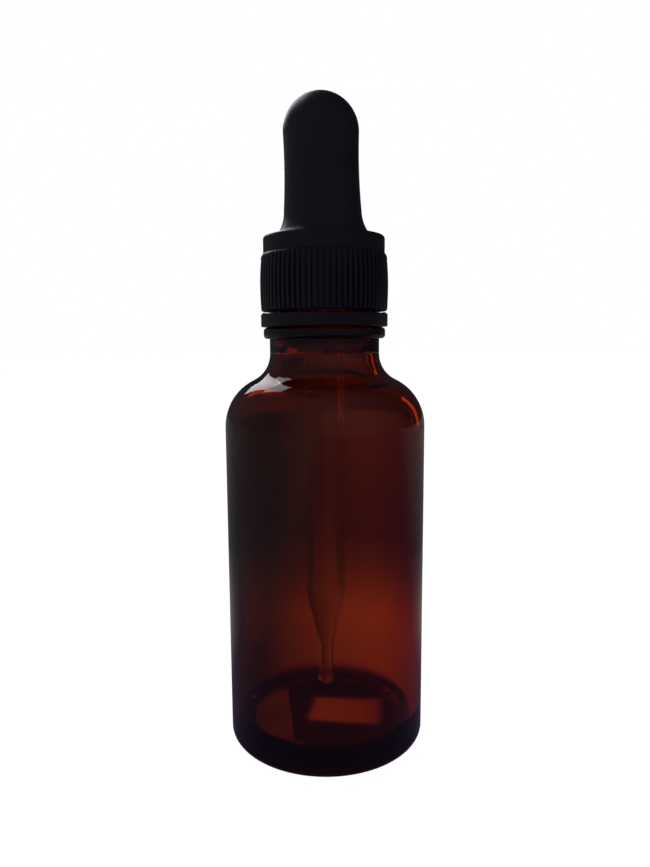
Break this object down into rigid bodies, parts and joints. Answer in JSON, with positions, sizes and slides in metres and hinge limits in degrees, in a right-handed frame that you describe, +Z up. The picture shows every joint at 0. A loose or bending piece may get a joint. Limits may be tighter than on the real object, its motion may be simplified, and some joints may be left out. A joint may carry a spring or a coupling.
{
  "type": "dropper bottle",
  "caption": "Round amber glass dropper bottle for ink, with a screw collar, tamper ring, rubber bulb and glass pipette.",
  "frame": {"origin": "the middle of the base, on the plane that the bottle stands on", "axes": "+Z up along the bottle's axis, from the base to the bulb; X and Y lie in the plane of the base"},
  "size_m": [0.033, 0.033, 0.106],
  "materials": {
    "amber_glass": "glossy, see-through dark red-brown",
    "clear_glass": "glossy, colourless",
    "collar_plastic": "fine satin, black",
    "ring_plastic": "fine satin, black",
    "black_rubber": "dull, black"
  },
  "bodies": {
    "bottle": {"glass_bottle": "amber_glass"},
    "ring": {"tamper_ring": "ring_plastic"},
    "dropper": {"glass_pipette": "clear_glass"},
    "collar": {"screw_collar": "collar_plastic"},
    "bulb": {"rubber_bulb": "black_rubber"}
  },
  "joints": [
    {"name": "ring_spin", "type": "hinge", "parent": "bottle", "child": "ring", "pos_m": [0, 0, 0.0694], "axis": [0, 0, 1], "continuous": true},
    {"name": "dropper_rise", "type": "slide", "parent": "bottle", "child": "dropper", "axis": [0, 0, 1], "range_m": [0, 0.084]},
    {"name": "collar_turn", "type": "hinge", "parent": "dropper", "child": "collar", "pos_m": [0, 0, 0.0719], "axis": [0, 0, 1], "range_deg": [0, 10080]},
    {"name": "bulb_press", "type": "slide", "parent": "dropper", "child": "bulb", "axis": [0, 0, -1], "range_m": [0, 0.004], "stiffness_N_per_m": 500, "deforming": ["rubber_bulb"]}
  ],
  "couplings": [
    {"joint": "collar_turn", "follows": "dropper_rise", "rad_per_m": 2094.4}
  ]
}
